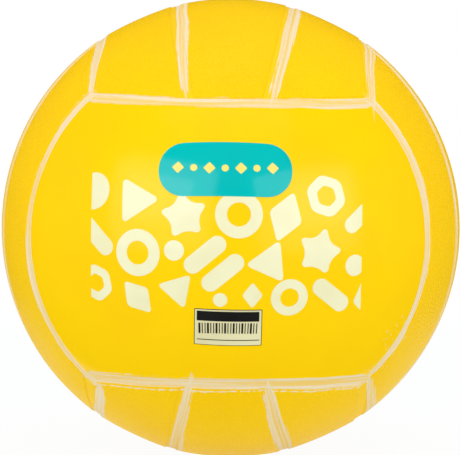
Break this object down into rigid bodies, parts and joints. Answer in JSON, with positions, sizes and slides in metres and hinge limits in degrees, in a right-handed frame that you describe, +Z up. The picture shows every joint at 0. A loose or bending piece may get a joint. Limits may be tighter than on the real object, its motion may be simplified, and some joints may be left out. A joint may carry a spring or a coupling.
{
  "type": "beach volleyball",
  "caption": "Inflatable rubber beach ball with a volleyball panel layout, hand-painted cream channels between glossy yellow panels, and a needle valve at the top",
  "frame": {"origin": "centre of the ball", "axes": "+Z points up, out of the ball through the valve; the large printed front panel faces -Y; +X is to the right as the front panel is looked at"},
  "size_m": [0.213, 0.213, 0.2129],
  "materials": {
    "cover": "gloss",
    "paint": "satin",
    "thread": "matte",
    "bladder": "matte",
    "valve": "matte",
    "core": "matte",
    "print_teal": "gloss",
    "print_cream": "gloss",
    "print_black": "gloss"
  },
  "bodies": {
    "root": {"bladder": "bladder", "valve_boot": "valve", "valve_core": "core", "winding": "thread", "carcass": "paint", "front_panel": "cover", "back_panel": "cover", "top_left_strip": "cover", "top_middle_strip": "cover", "top_right_strip": "cover", "bottom_left_strip": "cover", "bottom_middle_strip": "cover", "bottom_right_strip": "cover", "left_front_strip": "cover", "left_middle_strip": "cover", "left_back_strip": "cover", "right_front_strip": "cover", "right_middle_strip": "cover", "right_back_strip": "cover"}
  },
  "joints": []
}
